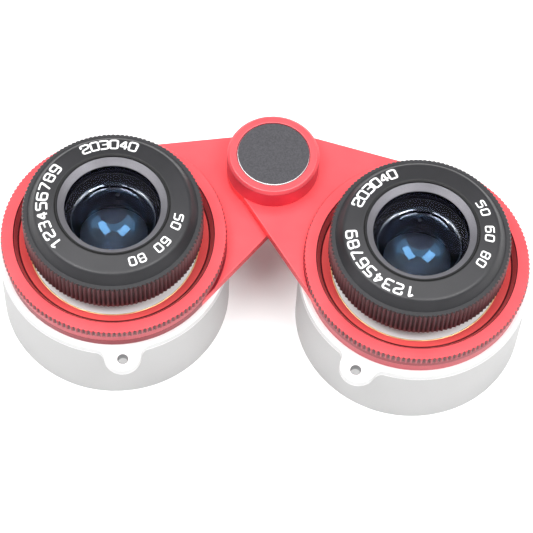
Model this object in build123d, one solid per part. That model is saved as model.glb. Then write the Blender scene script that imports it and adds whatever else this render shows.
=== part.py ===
"""Wide-field stargazing binocular: two short barrels on a bridge hinge, standing on their objective ends.

Millimetres. +Z runs along both optical axes from the objectives to the eyes, X joins the two barrels, and
the bridge hinge is on the +Y side. The origin is the middle of the outside box at the objective rims.
"""

from build123d import *
import math
import os

os.makedirs("parts", exist_ok=True)

# Overall layout
barrel_half_spacing = 35.15
hinge_setback = 22.63
left_lug_angle = -80.1
right_lug_angle = -114.5

# Objective tube
tube_r = 27.0
tube_h = 19.86
tube_bore_r = 24.6
tube_rim_chamfer = 0.35
tube_roof_t = 2.2
neck_r = 19.9
neck_sink = 0.86
focus_bore_r = 16.92

# Strap ring and its lug
strap_ring_t = 2.0
strap_edge_round = 0.45
lug_out = 1.0
lug_r = 4.3
lug_fillet = 2.6
lug_hole_out = 2.35
lug_hole_r = 1.2

# Bridge arms
arm_disc_r = 25.6
arm_t = 2.08
arm_gap = 0.24
arm_front_r = 10.3
arm_chamfer = 0.15
hub_r = 10.85

# Neck sleeve and knurled clamp ring
sleeve_r = 22.3
sleeve_rise = 0.64
clamp_tip_r = 26.18
clamp_t = 2.16
clamp_mouth_r = 23.28
clamp_teeth = 140
clamp_tooth_depth = 0.42
clamp_gap = 0.02

# Objective glass
objective_r = 21.0
objective_front_z = 5.5
objective_joint_z = 8.6
objective_rear_z = 12.2
objective_front_radius = 75.0
objective_joint_radius = 90.0
objective_rear_radius = 300.0
objective_clear_r = 20.0
objective_lip_t = 1.4
objective_ring_t = 1.6
objective_cell_low = 3.4

# Focusing gear
focus_tube_wall = 2.32
focus_tube_foot = 21.0
focus_tube_top = 36.0
slide_wall = 1.57
slide_foot = 21.6
slide_top = 38.4
guide_pin_r = 0.75
guide_pin_z = 28.0
guide_slot_spare = 0.2
travel_up = 4.0
travel_down = 2.0
cell_r = 12.95
cell_foot = 33.4
cell_top = 41.9

# Eye lens and its bevelled ring
eye_lens_r = 12.05
eye_lens_low = 34.6
eye_lens_high = 40.0
eye_lens_top_radius = 200.0
eye_lens_low_radius = 22.0
eye_seat_r = 11.2
eye_ring_outer_r = 12.6
eye_ring_inner_r = 11.0
eye_ring_high = 41.65
eye_ring_low = 40.4

# Focus cup
cup_tip_r = 20.7
cup_low = 30.6
cup_knurl_top = 38.7
cup_teeth = 120
cup_tooth_depth = 0.5
cup_rim_r = 19.46
cup_shoulder_r = 18.3
cup_shoulder_z = 40.35
cup_face_r = 17.3
cup_face_z = 41.26
cup_face_inner_z = 41.8
cup_roof_low = 38.6

# Bridge hinge
hub_t = 5.91
hub_rim_r = 10.2
hub_edge = 0.65
hub_cavity_r = 8.9
hub_cavity_t = 4.04
disc_r = 8.65
disc_t = 1.0
disc_sink = 0.1
axle_r = 4.0
axle_head_r = 7.0
axle_head_t = 2.4
hinge_bush_r = 5.5
spring_washer_r = 8.2
spring_washer_t = 0.5
shim_t = 0.2
nut_r = 7.5
nut_t = 2.6
spanner_hole_r = 0.9
spanner_reach = 5.4
spanner_depth = 1.4

# Fits: clearances between pieces that turn or slide on each other
turning_fit = 0.05
sliding_fit = 0.08
seat_fit = 0.03

# Heights, radii and positions that follow
stack_low = tube_h + strap_ring_t
stack_high = stack_low + 2 * arm_t + arm_gap
upper_arm_low = stack_low + arm_t + arm_gap
neck_top = stack_high - neck_sink
sleeve_top = stack_high + sleeve_rise
clamp_top = stack_high + clamp_t
hub_top = stack_high + hub_t
lug_reach = tube_r + lug_out
lug_hole_reach = tube_r + lug_hole_out
slide_r = focus_bore_r - focus_tube_wall - sliding_fit
cup_bore_r = cell_r + turning_fit
cup_skirt_r = focus_bore_r + sliding_fit
front_reach = lug_reach * math.cos(math.radians(left_lug_angle + 90)) + lug_r
back_reach = hinge_setback + hub_r
barrel_y = (front_reach - back_reach) / 2
hinge_y = barrel_y + hinge_setback


def turned(points):
    """Revolve a closed (radius, height) outline about the vertical axis."""
    outline = make_face(Polyline(*points, close=True))
    return revolve(Plane.XZ * outline, Axis.Z, 360)


def tube(outer, inner, low, high):
    """A plain upright ring between two heights."""
    ring = Cylinder(outer, high - low) - Cylinder(inner, high - low)
    return Pos(0, 0, (low + high) / 2) * ring


def sag(radius, reach):
    """Depth of a sphere's cap at a distance from its axis."""
    return radius - math.sqrt(radius * radius - reach * reach)


def knurled(tip_r, depth, teeth, low, high):
    """An upright bar with straight V-shaped ribs around it."""
    points = []
    for index in range(2 * teeth):
        angle = math.pi * index / teeth
        reach = tip_r if index % 2 == 0 else tip_r - depth
        points.append((reach * math.cos(angle), reach * math.sin(angle)))
    return Pos(0, 0, low) * extrude(make_face(Polyline(*points, close=True)), high - low)


def objective_tube():
    """Silver barrel, open at the objective end, with a narrow neck above its shoulder."""
    roof_low = tube_h - tube_roof_t
    return turned([
        (tube_bore_r, 0),
        (tube_r - tube_rim_chamfer, 0),
        (tube_r, tube_rim_chamfer),
        (tube_r, tube_h),
        (neck_r, tube_h),
        (neck_r, neck_top),
        (focus_bore_r, neck_top),
        (focus_bore_r, roof_low),
        (tube_bore_r, roof_low),
    ])


def lug_outline():
    """Ring disc with one rounded lug along +X, blended by a concave arc on each side."""
    outline = Circle(tube_r) + Pos(lug_reach, 0) * Circle(lug_r)
    ring_side = tube_r + lug_fillet
    lug_side = lug_r + lug_fillet
    blend_x = (ring_side ** 2 - lug_side ** 2 + lug_reach ** 2) / (2 * lug_reach)
    blend_y = math.sqrt(ring_side ** 2 - blend_x ** 2)
    for sign in (-1, 1):
        web = make_face(Polyline((0, 0), (blend_x, sign * blend_y), (lug_reach, 0), close=True))
        outline = outline + (web - Pos(blend_x, sign * blend_y) * Circle(lug_fillet))
    return outline


def strap_ring(lug_angle):
    """Flat ring on the shoulder with one rounded, drilled lug for a neck strap."""
    plate = extrude(lug_outline(), strap_ring_t)
    plate = fillet(plate.edges().group_by(Axis.Z)[-1], strap_edge_round)
    plate = plate - Cylinder(sleeve_r, 3 * strap_ring_t)
    plate = plate - Pos(lug_hole_reach, 0, 0) * Cylinder(lug_hole_r, 3 * strap_ring_t)
    return Rot(0, 0, lug_angle) * (Pos(0, 0, tube_h) * plate)


def tangent_normal(hinge_x, reach_r, front):
    """Outward normal of the arm edge that touches the barrel disc and a circle at the hinge."""
    length = math.hypot(hinge_x, hinge_setback)
    along = (hinge_x / length, hinge_setback / length)
    across = (-along[1], along[0])
    if (across[1] > 0) == front:
        across = (-across[0], -across[1])
    cosine = (arm_disc_r - reach_r) / length
    sine = math.sqrt(1 - cosine * cosine)
    return (along[0] * cosine + across[0] * sine, along[1] * cosine + across[1] * sine)


def arm(hinge_x, low, hinge_bore_r):
    """Flat tapered bridge plate from the barrel's disc to the round hinge boss."""
    front = tangent_normal(hinge_x, arm_front_r, True)
    back = tangent_normal(hinge_x, hub_r, False)
    web = make_face(Polyline(
        (arm_disc_r * front[0], arm_disc_r * front[1]),
        (hinge_x + arm_front_r * front[0], hinge_setback + arm_front_r * front[1]),
        (hinge_x + hub_r * back[0], hinge_setback + hub_r * back[1]),
        (arm_disc_r * back[0], arm_disc_r * back[1]),
        close=True,
    ))
    outline = Circle(arm_disc_r) + web + Pos(hinge_x, hinge_setback) * Circle(hub_r)
    plate = extrude(Plane.XY.offset(low) * outline, arm_t)
    plate = chamfer(plate.edges().group_by(Axis.Z)[-1], arm_chamfer)
    barrel_bore = Pos(0, 0, low) * Cylinder(sleeve_r, 3 * arm_t)
    hinge_bore = Pos(hinge_x, hinge_setback, low) * Cylinder(hinge_bore_r, 3 * arm_t)
    return plate - barrel_bore - hinge_bore


def neck_sleeve():
    """Red sleeve on the neck; its top slopes inward to a thin golden lip."""
    return turned([
        (neck_r, tube_h),
        (sleeve_r, tube_h),
        (sleeve_r, sleeve_top),
        (neck_r, neck_top + 0.05),
    ])


def clamp_ring():
    """Low knurled ring that clamps the strap ring, arm and spacer on the neck."""
    low = stack_high + clamp_gap
    bore = sleeve_r + turning_fit
    ribs = knurled(clamp_tip_r, clamp_tooth_depth, clamp_teeth, low, clamp_top)
    blank = turned([
        (bore, low),
        (clamp_tip_r - 0.3, low),
        (clamp_tip_r, low + 0.3),
        (clamp_tip_r, clamp_top - 0.3),
        (clamp_tip_r - 0.3, clamp_top),
        (clamp_mouth_r, clamp_top),
        (bore, sleeve_top),
    ])
    return ribs & blank


def edge_bulge(radius):
    """How far a lens face rises between its edge and the clear opening."""
    return sag(radius, objective_r) - sag(radius, objective_clear_r)


def objective_cell():
    """Black cell screwed into the tube, with a lip above the glass."""
    lip_low = objective_rear_z + edge_bulge(objective_rear_radius) + seat_fit
    lip_top = lip_low + objective_lip_t
    return turned([
        (objective_r + seat_fit, objective_cell_low),
        (tube_bore_r - seat_fit, objective_cell_low),
        (tube_bore_r - seat_fit, lip_top),
        (objective_clear_r, lip_top),
        (objective_clear_r, lip_low),
        (objective_r + seat_fit, lip_low),
    ])


def dome(radius, edge_z, upward):
    """Ball whose surface meets the edge of the objective glass at a height."""
    rise = radius - sag(radius, objective_r)
    centre_z = edge_z - rise if upward else edge_z + rise
    return Pos(0, 0, centre_z) * Sphere(radius)


def objective_blank():
    """Glass cylinder long enough for either element."""
    middle = (objective_front_z + objective_rear_z) / 2
    return Pos(0, 0, middle) * Cylinder(objective_r, 16)


def objective_front_lens():
    """Positive element: bulges towards the sky and into its cemented partner."""
    outer = dome(objective_front_radius, objective_front_z, False)
    inner = dome(objective_joint_radius, objective_joint_z, True)
    return objective_blank() & outer & inner


def objective_rear_lens():
    """Negative element cemented on the front one, nearly flat at the back."""
    back = dome(objective_rear_radius, objective_rear_z, True)
    return (objective_blank() & back) - dome(objective_joint_radius, objective_joint_z, True) - below_joint()


def below_joint():
    """Space under the edge where the two elements meet."""
    return Pos(0, 0, objective_joint_z - 10) * Cylinder(objective_r + 1, 20)


def objective_retaining_ring():
    """Thin black ring that holds the doublet from the front."""
    high = objective_front_z - edge_bulge(objective_front_radius) - seat_fit
    return tube(objective_r, objective_clear_r, high - objective_ring_t, high)


def focus_tube():
    """Fixed helicoid sleeve that stands in the neck and guides the sliding eyepiece."""
    inner = focus_bore_r - focus_tube_wall
    body = tube(focus_bore_r, inner, focus_tube_foot, focus_tube_top)
    hole = Pos(0, focus_bore_r, guide_pin_z) * Rot(90, 0, 0) * Cylinder(guide_pin_r, 8)
    return body - hole


def guide_pin():
    """Pin that keeps the sliding sleeve from turning."""
    inner = slide_r - slide_wall + 0.5
    outer = focus_bore_r - 0.1
    middle = (inner + outer) / 2
    return Pos(0, middle, guide_pin_z) * Rot(90, 0, 0) * Cylinder(guide_pin_r, outer - inner)


def eyepiece_slide():
    """Sliding sleeve with an axial slot for the guide pin."""
    body = tube(slide_r, cell_r, slide_foot, slide_top)
    low = guide_pin_z - travel_up - guide_pin_r - guide_slot_spare
    high = guide_pin_z + travel_down + guide_pin_r + guide_slot_spare
    slot = Pos(0, slide_r, (low + high) / 2) * Box(2 * (guide_pin_r + guide_slot_spare), 5, high - low)
    return body - slot


def eye_lens_cell():
    """Black cell screwed into the slide; its thin rim shows inside the cup."""
    return turned([
        (eye_seat_r, cell_foot),
        (cell_r, cell_foot),
        (cell_r, cell_top),
        (eye_ring_outer_r + seat_fit, cell_top),
        (eye_ring_outer_r + seat_fit, eye_lens_high),
        (eye_lens_r + seat_fit, eye_lens_high),
        (eye_lens_r + seat_fit, eye_lens_low),
        (eye_seat_r, eye_lens_low),
    ])


def eye_lens():
    """Negative eye lens, hollow on both sides."""
    middle = (eye_lens_low + eye_lens_high) / 2
    blank = Pos(0, 0, middle) * Cylinder(eye_lens_r, eye_lens_high - eye_lens_low)
    top_z = eye_lens_high - sag(eye_lens_top_radius, eye_ring_inner_r)
    low_z = eye_lens_low + sag(eye_lens_low_radius, eye_ring_inner_r)
    top_ball = Pos(0, 0, top_z + eye_lens_top_radius) * Sphere(eye_lens_top_radius)
    low_ball = Pos(0, 0, low_z - eye_lens_low_radius) * Sphere(eye_lens_low_radius)
    above = top_ball & Pos(0, 0, middle) * Cylinder(eye_ring_inner_r, 30)
    below = low_ball & Pos(0, 0, middle) * Cylinder(eye_ring_inner_r, 30)
    return blank - above - below


def eye_retaining_ring():
    """Bevelled ring around the eye lens."""
    return turned([
        (eye_ring_inner_r, eye_lens_high),
        (eye_ring_outer_r, eye_lens_high),
        (eye_ring_outer_r, eye_ring_high),
        (eye_ring_outer_r - 0.2, eye_ring_high),
        (eye_ring_inner_r, eye_ring_low),
    ])


def focus_cup():
    """Knurled focusing cup: ribbed skirt, rounded shoulder and a gently sloping face."""
    ribs = knurled(cup_tip_r, cup_tooth_depth, cup_teeth, cup_low, cup_knurl_top)
    skirt_blank = turned([
        (cup_skirt_r, cup_low),
        (cup_tip_r - 0.5, cup_low),
        (cup_tip_r, cup_low + 0.5),
        (cup_tip_r, cup_knurl_top - 0.35),
        (cup_tip_r - 0.35, cup_knurl_top),
        (cup_skirt_r, cup_knurl_top),
    ])
    with BuildSketch(Plane.XZ) as crown_sketch:
        with BuildLine():
            Line((cup_bore_r, cup_roof_low), (cup_skirt_r, cup_roof_low))
            Line((cup_skirt_r, cup_roof_low), (cup_rim_r, cup_roof_low))
            Line((cup_rim_r, cup_roof_low), (cup_rim_r, cup_knurl_top))
            Line((cup_rim_r, cup_knurl_top), (cup_shoulder_r, cup_shoulder_z))
            Spline(
                (cup_shoulder_r, cup_shoulder_z),
                (cup_face_r, cup_face_z),
                tangents=(
                    (cup_shoulder_r - cup_rim_r, cup_shoulder_z - cup_knurl_top),
                    (cup_bore_r - cup_face_r, cup_face_inner_z - cup_face_z),
                ),
            )
            Line((cup_face_r, cup_face_z), (cup_bore_r, cup_face_inner_z))
            Line((cup_bore_r, cup_face_inner_z), (cup_bore_r, cup_roof_low))
        make_face()
    crown = revolve(crown_sketch.sketch, Axis.Z, 360)
    return (ribs & skirt_blank) + crown


def hinge_cap():
    """Red hub over the hinge, recessed on top for the black disc."""
    low = stack_high
    disc_low = hub_top - disc_sink - disc_t
    return turned([
        (hub_cavity_r, low),
        (hub_r, low),
        (hub_r, hub_top - hub_edge),
        (hub_rim_r, hub_top),
        (disc_r + seat_fit, hub_top),
        (disc_r + seat_fit, disc_low),
        (0, disc_low),
        (0, low + hub_cavity_t),
        (hub_cavity_r, low + hub_cavity_t),
    ])


def hinge_disc():
    """Black disc let into the hub, with a bright turned edge."""
    high = hub_top - disc_sink
    disc = Pos(0, 0, high - disc_t / 2) * Cylinder(disc_r, disc_t)
    return chamfer(disc.edges().group_by(Axis.Z)[-1], 0.22)


def hinge_axle():
    """Steel hinge screw: flat head above both arms, plain shank through them."""
    head_low = stack_high + spring_washer_t
    shank_low = stack_low - nut_t + 0.3
    shank = Pos(0, 0, (shank_low + head_low) / 2) * Cylinder(axle_r, head_low - shank_low)
    head = Pos(0, 0, head_low + axle_head_t / 2) * Cylinder(axle_head_r, axle_head_t)
    socket = Pos(0, 0, head_low + axle_head_t) * extrude(RegularPolygon(2.5, 6), -1.6)
    return shank + head - socket


def hinge_bush():
    """Brass bush in the moving arm."""
    return tube(hinge_bush_r, axle_r + turning_fit, upper_arm_low, stack_high)


def hinge_shim():
    """Thin friction shim between the two arms."""
    low = stack_low + arm_t + (arm_gap - shim_t) / 2
    return tube(hub_r - 0.6, axle_r + turning_fit, low, low + shim_t)


def spring_washer():
    """Dished spring washer under the axle's head that sets the hinge friction."""
    inner = axle_r + 0.2
    low = stack_high + clamp_gap
    high = stack_high + spring_washer_t
    return tube(spring_washer_r, inner, low, high)


def hinge_nut():
    """Round nut below the arms with two spanner holes."""
    low = stack_low - nut_t
    body = tube(nut_r, axle_r, low, stack_low)
    body = chamfer(body.edges().group_by(Axis.Z)[0].sort_by(SortBy.RADIUS)[-1], 0.4)
    for sign in (-1, 1):
        hole = Pos(sign * spanner_reach, 0, low) * Cylinder(spanner_hole_r, 2 * spanner_depth)
        body = body - hole
    return body


def save(name, piece):
    """Write one named piece."""
    export_step(piece, f"parts/{name}.step")


for side, sign, lug_angle in (("left", -1, left_lug_angle), ("right", 1, right_lug_angle)):
    axis_at = Pos(sign * barrel_half_spacing, barrel_y, 0)
    hinge_x = -sign * barrel_half_spacing
    arm_low = stack_low if sign < 0 else upper_arm_low
    spacer_low = stack_low + arm_t if sign < 0 else stack_low
    hinge_bore_r = axle_r if sign < 0 else hinge_bush_r
    pieces = {
        "objective_tube": objective_tube(),
        "strap_ring": strap_ring(lug_angle),
        "arm": arm(hinge_x, arm_low, hinge_bore_r),
        "arm_spacer": tube(arm_disc_r, sleeve_r, spacer_low, spacer_low + arm_t + arm_gap),
        "neck_sleeve": neck_sleeve(),
        "clamp_ring": clamp_ring(),
        "objective_cell": objective_cell(),
        "objective_front_lens": objective_front_lens(),
        "objective_rear_lens": objective_rear_lens(),
        "objective_retaining_ring": objective_retaining_ring(),
        "focus_tube": focus_tube(),
        "guide_pin": guide_pin(),
        "eyepiece_slide": eyepiece_slide(),
        "eye_lens_cell": eye_lens_cell(),
        "eye_lens": eye_lens(),
        "eye_retaining_ring": eye_retaining_ring(),
        "focus_cup": focus_cup(),
    }
    for name, piece in pieces.items():
        save(f"{side}_{name}", axis_at * piece)

hinge_at = Pos(0, hinge_y, 0)
hinge_pieces = {
    "hinge_cap": hinge_cap(),
    "hinge_disc": hinge_disc(),
    "hinge_axle": hinge_axle(),
    "hinge_bush": hinge_bush(),
    "hinge_shim": hinge_shim(),
    "hinge_spring_washer": spring_washer(),
    "hinge_nut": hinge_nut(),
}
for name, piece in hinge_pieces.items():
    save(name, hinge_at * piece)
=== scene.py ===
"""Looks of a wide-field stargazing binocular: finishes, coated glass, focus dial, light and camera.

Metres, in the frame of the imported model: +Z runs along the optical axes from the objectives to the eyes, the
barrels stand side by side along X, and the bridge hinge is on the +Y side.
"""

import logging
import math
from dataclasses import dataclass, replace
from enum import Enum

import bpy
import numpy as np
from mathutils import Matrix, Vector


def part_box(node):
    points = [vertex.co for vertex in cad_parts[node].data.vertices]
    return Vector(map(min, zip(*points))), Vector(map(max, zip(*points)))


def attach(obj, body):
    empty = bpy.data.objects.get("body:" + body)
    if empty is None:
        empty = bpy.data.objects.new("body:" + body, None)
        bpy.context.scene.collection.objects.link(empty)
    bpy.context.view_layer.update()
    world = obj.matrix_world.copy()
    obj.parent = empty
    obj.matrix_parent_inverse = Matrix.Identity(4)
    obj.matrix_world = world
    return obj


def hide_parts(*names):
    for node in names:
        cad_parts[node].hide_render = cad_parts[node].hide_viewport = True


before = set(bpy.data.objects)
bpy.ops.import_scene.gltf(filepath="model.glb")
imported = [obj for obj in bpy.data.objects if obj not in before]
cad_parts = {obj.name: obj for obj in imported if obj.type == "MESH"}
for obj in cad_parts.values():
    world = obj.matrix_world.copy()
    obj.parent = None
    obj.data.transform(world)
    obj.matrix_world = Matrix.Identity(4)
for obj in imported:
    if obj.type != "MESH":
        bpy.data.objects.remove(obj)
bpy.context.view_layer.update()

LOG = logging.getLogger("binocular_looks")
MM = 0.001
Colour = tuple[float, float, float]
Band = tuple[float, float, float, float]
Socket = bpy.types.NodeSocket
Material = bpy.types.Material


def middle(node: str) -> Vector:
    """Point at floor height on the vertical axis of a round CAD node."""
    low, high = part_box(node)
    return Vector(((low.x + high.x) / 2, (low.y + high.y) / 2, 0))


class Side(Enum):
    """The two barrels, as seen from the eyepieces with the hinge at the back."""

    LEFT = "left"
    RIGHT = "right"

    def node(self, part: str) -> str:
        """Name of this side's CAD node for a part."""
        return f"{self.value}_{part}"

    def axis(self) -> Vector:
        """Point on this barrel's optical axis at floor height."""
        return middle(self.node("objective_tube"))


class Slot(Enum):
    """Names of material slots, one for each kind of new piece."""

    SILVER = "silver_aluminium"
    BLACK = "black_anodised"
    GLASS = "lens_glass"
    STEEL = "steel"


# ------ material nodes

BEVEL_SAMPLES = 6
EDGE_LEAN = (0.995, 0.86)  # cosines between rounded and true normal where an edge starts and is full
WALL_LEAN = (0.8, 0.3)  # vertical shares of the normal where a wall starts and is full


class Shader:
    """One principled material under construction, with short calls for its nodes."""

    def __init__(self, name: str) -> None:
        """Start a material.

        Args:
            name: Name of the material.
        """
        self.material = bpy.data.materials.new(name)
        self.material.use_nodes = True
        self.tree = self.material.node_tree
        self.surface = self.tree.nodes["Principled BSDF"]

    def add(self, kind: str, *inputs: object, **settings: object) -> bpy.types.Node:
        """Add a node and feed its first inputs.

        Args:
            kind: Node type without its ShaderNode prefix.
            inputs: Sockets, numbers or colours for its inputs in order; None leaves one as it is.
            settings: Properties set on the node.

        Returns:
            The new node.
        """
        node = self.tree.nodes.new("ShaderNode" + kind)
        for key, value in settings.items():
            setattr(node, key, value)
        for socket, value in zip(node.inputs, inputs):
            self.feed(socket, value)
        return node

    def feed(self, socket: Socket, value: object) -> None:
        """Give an input its value.

        Args:
            socket: The input.
            value: Socket to link it to, number or colour to set, or None to leave it as it is.
        """
        if isinstance(value, Socket):
            self.tree.links.new(value, socket)
        elif value is not None:
            socket.default_value = (*value, 1.0) if isinstance(value, tuple) else value

    def set(self, **values: object) -> None:
        """Feed inputs of the principled node, named with underscores for spaces."""
        for key, value in values.items():
            self.feed(self.surface.inputs[key.replace("_", " ")], value)

    def math(self, operation: str, first: object, second: object = 0.0) -> Socket:
        """Result of one arithmetic operation on numbers or sockets."""
        return self.add("Math", first, second, operation=operation).outputs[0]

    def place(self, centre: Vector) -> Socket:
        """Object coordinates measured from a centre."""
        whole = self.add("TexCoord").outputs["Object"]
        return self.add("Mapping", whole, -centre, vector_type="POINT").outputs[0]

    def turned(self, centre: Vector) -> tuple[Socket, Socket]:
        """Radius and height about a vertical axis.

        Args:
            centre: Point on the axis.

        Returns:
            Sockets of the radius and the height.
        """
        x, y, z = self.add("SeparateXYZ", self.place(centre)).outputs
        square = self.math("ADD", self.math("MULTIPLY", x, x), self.math("MULTIPLY", y, y))
        return self.math("SQRT", square), z

    def noise(self, vector: object, scale: float, detail: float = 2.0, rough: float = 0.5) -> Socket:
        """Number from 0 to 1 in lumps, scale of them per metre, with detail octaves of weight rough."""
        return self.add("TexNoise", vector, None, scale, detail, rough).outputs[0]

    def lathe_lines(self, centre: Vector, per_metre: float) -> Socket:
        """Fine lines round an axis, as a turning tool leaves them: noise of radius and height only."""
        return self.noise(self.add("CombineXYZ", *self.turned(centre)).outputs[0], per_metre, 3.0, 0.6)

    def ramp(
        self, value: object, low: float, high: float, to_low: float = 0.0, to_high: float = 1.0,
    ) -> Socket:
        """Number mapped from low..high to to_low..to_high and held at the ends."""
        return self.add("MapRange", value, low, high, to_low, to_high, clamp=True).outputs[0]

    def blend(self, factor: object, first: object, second: object) -> Socket:
        """Colour between two colours or sockets, by a factor from 0 to 1."""
        other_types = (None,) * 5
        return self.add("Mix", factor, *other_types, first, second, data_type="RGBA").outputs[2]

    def rounded(self, radius: object) -> Socket:
        """Normal that turns softly over edges, as if they were broken by that radius."""
        return self.add("Bevel", radius, samples=BEVEL_SAMPLES).outputs[0]

    def edges(self, normal: Socket) -> Socket:
        """Mask that is 1 on edges: how far a rounded normal leans away from the true one."""
        true = self.add("NewGeometry").outputs["Normal"]
        dot = self.add("VectorMath", normal, true, operation="DOT_PRODUCT")
        return self.ramp(dot.outputs["Value"], *EDGE_LEAN)

    def upright(self, normal: Socket) -> Socket:
        """Mask that is 1 on walls parallel to the optical axes and 0 on faces across them."""
        return self.ramp(self.math("ABSOLUTE", self.add("SeparateXYZ", normal).outputs[2]), *WALL_LEAN)

    def within(self, value: Socket, low: float, high: float) -> Socket:
        """Mask that is 1 where a number lies between low and high."""
        above, below = self.math("GREATER_THAN", value, low), self.math("LESS_THAN", value, high)
        return self.math("MULTIPLY", above, below)

    def relief(self, height: Socket, depth: float, normal: Socket | None = None) -> Socket:
        """Normal bent by a height map.

        Args:
            height: Height, 0 to 1.
            depth: Depth in metres of the full height.
            normal: Normal to start from, or None for the surface's own.

        Returns:
            The bent normal.
        """
        node = self.add("Bump")
        for key, value in (("Distance", depth), ("Height", height), ("Normal", normal)):
            self.feed(node.inputs[key], value)
        return node.outputs[0]


# ------ finishes

LOWEST, HIGHEST = -1.0, 1.0  # heights in metres beyond every piece, for a band without an end
DYE_DRIFTS, BLASTED_GRAINS, BLASTED_LINES = 110.0, 5200.0, 3800.0  # per metre
BARE_LINES, SMUDGES, DUST_SPECKS, CLOTH_GRAINS = 5200.0, 420.0, 900.0, 2600.0  # per metre
ROUND_FADE = 0.2 * MM  # height over which one edge radius gives way to another
KNURL_RIM = 0.8 * MM  # how far inside the knurl's root the painted wall shade starts
BARE_EDGE = 0.12 * MM  # radius of the edges of bare metal


@dataclass(frozen=True)
class Anodised:
    """Dyed, bead-blasted aluminium with faint turning lines, painted shade on its upright walls, and edges
    painted lighter, partly as rubbed wear and partly as painted highlight.

    Args:
        name: Name of the material.
        tone: Colour of the dyed metal.
        wear_and_highlight: Colour of edges: rubbed wear with a painted edge highlight.
        shade: Colour in the darker drifts of the dye.
        wall_shade: Colour of upright walls: painted shade, darker than tone where less light falls on them.
        metallic: How metallic the dyed layer looks.
        roughness: Middle roughness of the blasted surface.
        grain, lines: Depths in metres of the blasted grain and the turning lines.
        edge: Radius in metres of the broken edges.
        round_above, round_edge: Height in metres above which edges have another radius; 0 for none.
        dark: Bands of radius and height in metres (inner, outer, low, high) coloured dark_tone: painted shadow
            lines in gaps, painted shade in holes and under overhangs, and the dark inside of a bore.
        dark_tone: Colour of those bands.
        rib_root, rib_tip: Radii in metres at the bottom and the tips of the knurl; 0 for none.
        rib_valley_shade: Painted shade on upright walls at the bottom of the knurl, where wall_shade is the
            colour at its tips.
    """

    name: str
    tone: Colour
    wear_and_highlight: Colour
    shade: Colour
    wall_shade: Colour
    metallic: float
    roughness: float
    grain: float
    lines: float
    edge: float
    round_above: float = 0.0
    round_edge: float = 0.0
    dark: tuple[Band, ...] = ()
    dark_tone: Colour = (0.01, 0.01, 0.011)
    rib_root: float = 0.0
    rib_tip: float = 0.0
    rib_valley_shade: Colour = (0.002, 0.002, 0.002)

    def build(self, centre: Vector) -> Material:
        """Make the material.

        Args:
            centre: Point on the axis that its lines run round.

        Returns:
            The new material.
        """
        shader = Shader(self.name)
        place = shader.place(centre)
        radius, height = shader.turned(centre)
        drift = shader.noise(place, DYE_DRIFTS, 3.0)
        speckle = shader.noise(place, BLASTED_GRAINS, 2.0, 0.7)
        lines = shader.lathe_lines(centre, BLASTED_LINES)
        edge = self.edge
        if self.round_above:
            edge = shader.ramp(
                height, self.round_above - ROUND_FADE, self.round_above, self.edge, self.round_edge,
            )
        soft = shader.rounded(edge)
        dyed = shader.blend(shader.ramp(drift, 0.35, 0.7), self.tone, self.shade)
        # Upright walls get painted shade: a darker colour than the tops, where less light falls.
        wall, wall_shade = shader.upright(soft), self.wall_shade
        if self.rib_root:
            # The knurl's walls are painted darker towards the bottom of its valleys, as shade; walls further
            # in keep the dyed colour.
            outside = shader.math("GREATER_THAN", radius, self.rib_root - KNURL_RIM)
            wall = shader.math("MULTIPLY", wall, outside)
            wall_shade = shader.blend(shader.ramp(radius, self.rib_root, self.rib_tip), self.rib_valley_shade, self.wall_shade)
        wall_shaded = shader.blend(wall, dyed, wall_shade)
        # Edges painted lighter in speckles: partly rubbed wear, partly painted highlight.
        wear_and_highlight = shader.math("MULTIPLY", shader.edges(soft), shader.ramp(speckle, 0.3, 0.75, 0.35, 0.9))
        colour_with_painted_light = shader.blend(wear_and_highlight, wall_shaded, self.wear_and_highlight)
        # Bands painted dark: painted shadow lines and painted shade, and the dark inside of the tube's bore.
        for inner, outer, low, high in self.dark:
            ring, layer = shader.within(radius, inner, outer), shader.within(height, low, high)
            colour_with_painted_light = shader.blend(shader.math("MULTIPLY", ring, layer), colour_with_painted_light, self.dark_tone)
        shader.set(
            Base_Color=colour_with_painted_light,
            Metallic=self.metallic,
            Roughness=shader.ramp(speckle, 0.25, 0.75, self.roughness - 0.05, self.roughness + 0.06),
            Normal=shader.relief(lines, self.lines, shader.relief(speckle, self.grain, soft)),
        )
        return shader.material


@dataclass(frozen=True)
class CoverDisc:
    """Dark disc with a fine cloth-like grain and a bright bare edge.

    Args:
        tone, deep, bare: Colours of the raised grain, between it and of the bare metal edge.
        bare_from, bare_fade: Radius in metres where the bare edge starts, and how softly.
        off_centre: How far the grained cover sits off the disc's centre, in metres along X and Y.
        pile: Depth in metres of the grain.
    """

    tone: Colour = (0.06, 0.059, 0.067)
    deep: Colour = (0.034, 0.033, 0.038)
    bare: Colour = (0.92, 0.92, 0.93)
    bare_from: float = 8.4 * MM
    bare_fade: float = 0.03 * MM
    off_centre: tuple[float, float] = (0.02 * MM, 0.16 * MM)
    pile: float = 0.05 * MM

    def build(self, centre: Vector) -> Material:
        """Make the material.

        Args:
            centre: Point on the disc's vertical axis.

        Returns:
            The new material.
        """
        shader = Shader("cover_disc")
        radius, _ = shader.turned(centre + Vector((*self.off_centre, 0)))
        grain = shader.noise(shader.place(centre), CLOTH_GRAINS, 4.0, 0.65)
        rim = shader.ramp(radius, self.bare_from - self.bare_fade, self.bare_from)
        cloth = shader.blend(shader.ramp(grain, 0.35, 0.65), self.deep, self.tone)
        raised = shader.math("MULTIPLY", grain, shader.ramp(rim, 0.0, 1.0, 1.0, 0.0))
        shader.set(
            Base_Color=shader.blend(rim, cloth, self.bare),
            Metallic=shader.ramp(rim, 0.0, 1.0, 0.0, 0.95),
            Roughness=shader.ramp(rim, 0.0, 1.0, 0.7, 0.22),
            Normal=shader.relief(raised, self.pile),
        )
        return shader.material


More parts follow.
